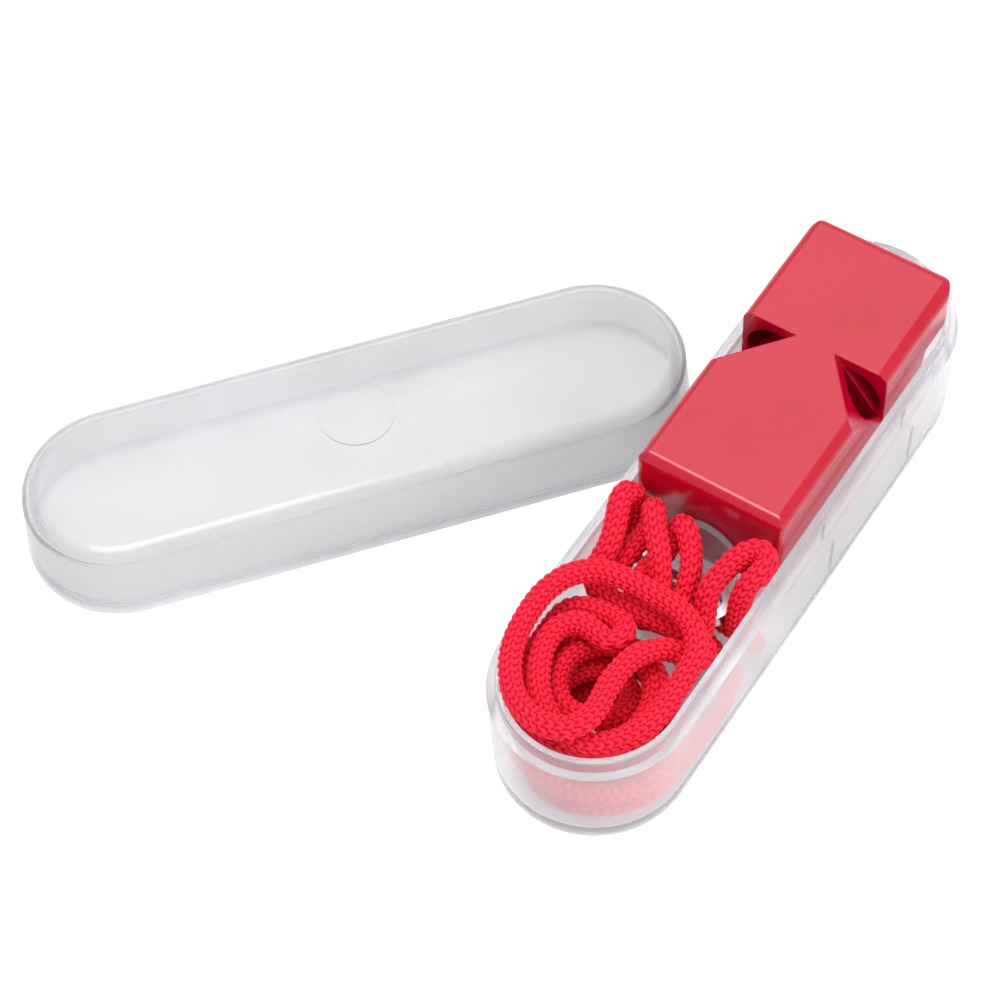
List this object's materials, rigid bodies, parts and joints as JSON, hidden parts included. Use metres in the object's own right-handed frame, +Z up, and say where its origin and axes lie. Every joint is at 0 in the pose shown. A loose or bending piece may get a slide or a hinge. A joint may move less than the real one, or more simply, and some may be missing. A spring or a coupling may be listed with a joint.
{
  "type": "sports whistle",
  "caption": "Pealess sports whistle with corner notches, stored in a clear rounded case with its lid off and its knitted cord lanyard and swivel snap hook packed in front.",
  "frame": {"origin": "centre of the case base's flat underside, on the surface that the object stands on", "axes": "+Y along the case base towards the whistle's mouthpiece, +X across it to the right, +Z up"},
  "size_m": [0.1117, 0.1118, 0.028],
  "materials": {
    "clear_plastic": "clear, smooth",
    "red_plastic": "glossy",
    "bright_metal": "bright plated",
    "red_cord": "knitted, slightly shiny"
  },
  "bodies": {
    "case": {"case_base": "clear_plastic"},
    "lid": {"case_lid": "clear_plastic"},
    "whistle": {"whistle_body": "red_plastic", "whistle_cover": "red_plastic"},
    "lanyard": {"ferrule": "bright_metal", "wire_ring": "bright_metal", "swivel_eye": "bright_metal", "cord_tail": "red_cord", "cord_coil": "red_cord", "cord_top": "red_cord", "cord_left_loops": "red_cord", "cord_right_loops": "red_cord"},
    "hook": {"hook_body": "bright_metal", "gate_pin": "bright_metal", "gate_spring": "bright_metal"},
    "gate": {"hook_gate": "bright_metal"}
  },
  "joints": [
    {"name": "lid_lift", "type": "slide", "parent": "case", "child": "lid", "axis": [0, 0, 1], "range_m": [0, 0.06]},
    {"name": "whistle_lift", "type": "slide", "parent": "case", "child": "whistle", "axis": [0, 0, 1], "range_m": [0, 0.06]},
    {"name": "lanyard_lift", "type": "slide", "parent": "case", "child": "lanyard", "axis": [0, 0, 1], "range_m": [0, 0.06]},
    {"name": "hook_swivel", "type": "hinge", "parent": "lanyard", "child": "hook", "pos_m": [0, -0.014, 0.0115], "axis": [1, 0, 0], "continuous": true},
    {"name": "gate_hinge", "type": "hinge", "parent": "hook", "child": "gate", "pos_m": [0.00134, -0.01665, 0.0115], "axis": [0, 0, 1], "range_deg": [0, 35], "stiffness_Nm_per_rad": 0.002, "springref_deg": -11.46}
  ]
}
